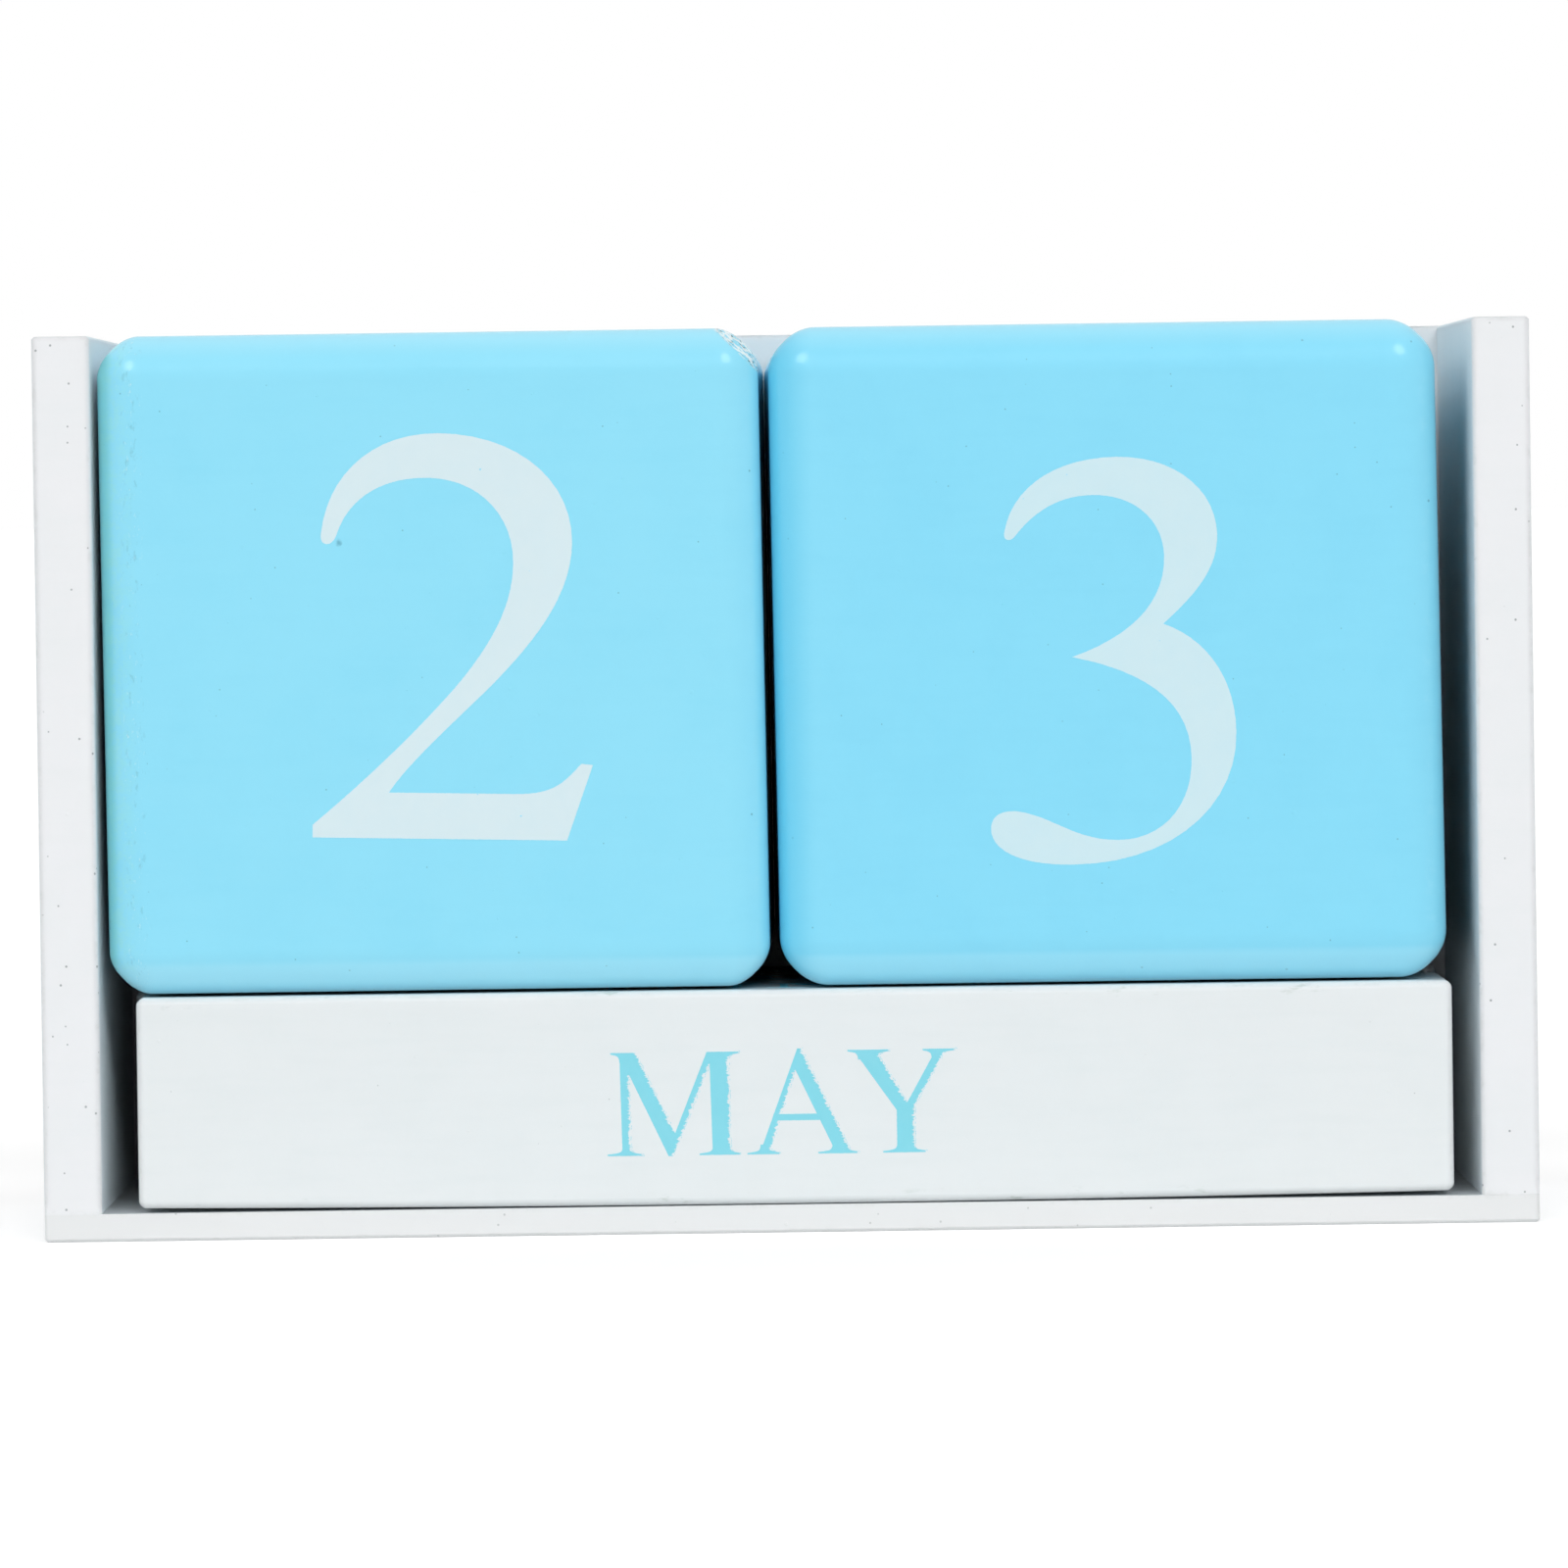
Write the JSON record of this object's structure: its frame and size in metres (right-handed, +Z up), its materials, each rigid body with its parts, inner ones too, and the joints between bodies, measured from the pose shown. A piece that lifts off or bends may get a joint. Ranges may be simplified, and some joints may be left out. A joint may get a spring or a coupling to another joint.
{
  "type": "perpetual block calendar",
  "caption": "Wooden desk tray open at front and top, holding square month bars that draw out and a pair of day cubes that lift out.",
  "frame": {"origin": "under the middle of the tray, on the surface that it stands on", "axes": "+X to the reader's right, +Y to the back, +Z up"},
  "size_m": [0.13, 0.0602, 0.0787],
  "materials": {
    "tray_paint": "board painted matt white",
    "bar_paint": "solid wood painted matt white",
    "cube_paint": "solid wood painted satin sky blue",
    "pin_steel": "bright steel, heads painted over"
  },
  "bodies": {
    "tray": {"floor_board": "tray_paint", "left_wall": "tray_paint", "right_wall": "tray_paint", "back_board": "tray_paint", "floor_pins": "pin_steel", "back_pins": "pin_steel"},
    "rear_bar": {"rear_month_bar": "bar_paint"},
    "middle_bar": {"middle_month_bar": "bar_paint"},
    "front_bar": {"front_month_bar": "bar_paint"},
    "tens": {"tens_cube": "cube_paint"},
    "units": {"units_cube": "cube_paint"}
  },
  "joints": [
    {"name": "tens_cube_lift", "type": "slide", "parent": "tray", "child": "tens", "axis": [0, 0, 1], "range_m": [0, 0.062]},
    {"name": "units_cube_lift", "type": "slide", "parent": "tray", "child": "units", "axis": [0, 0, 1], "range_m": [0, 0.062]},
    {"name": "rear_bar_draw", "type": "slide", "parent": "tray", "child": "rear_bar", "axis": [0, -1, 0], "range_m": [0, 0.06]},
    {"name": "middle_bar_draw", "type": "slide", "parent": "rear_bar", "child": "middle_bar", "axis": [0, -1, 0], "range_m": [0, 0.042]},
    {"name": "front_bar_draw", "type": "slide", "parent": "middle_bar", "child": "front_bar", "axis": [0, -1, 0], "range_m": [0, 0.024]}
  ]
}
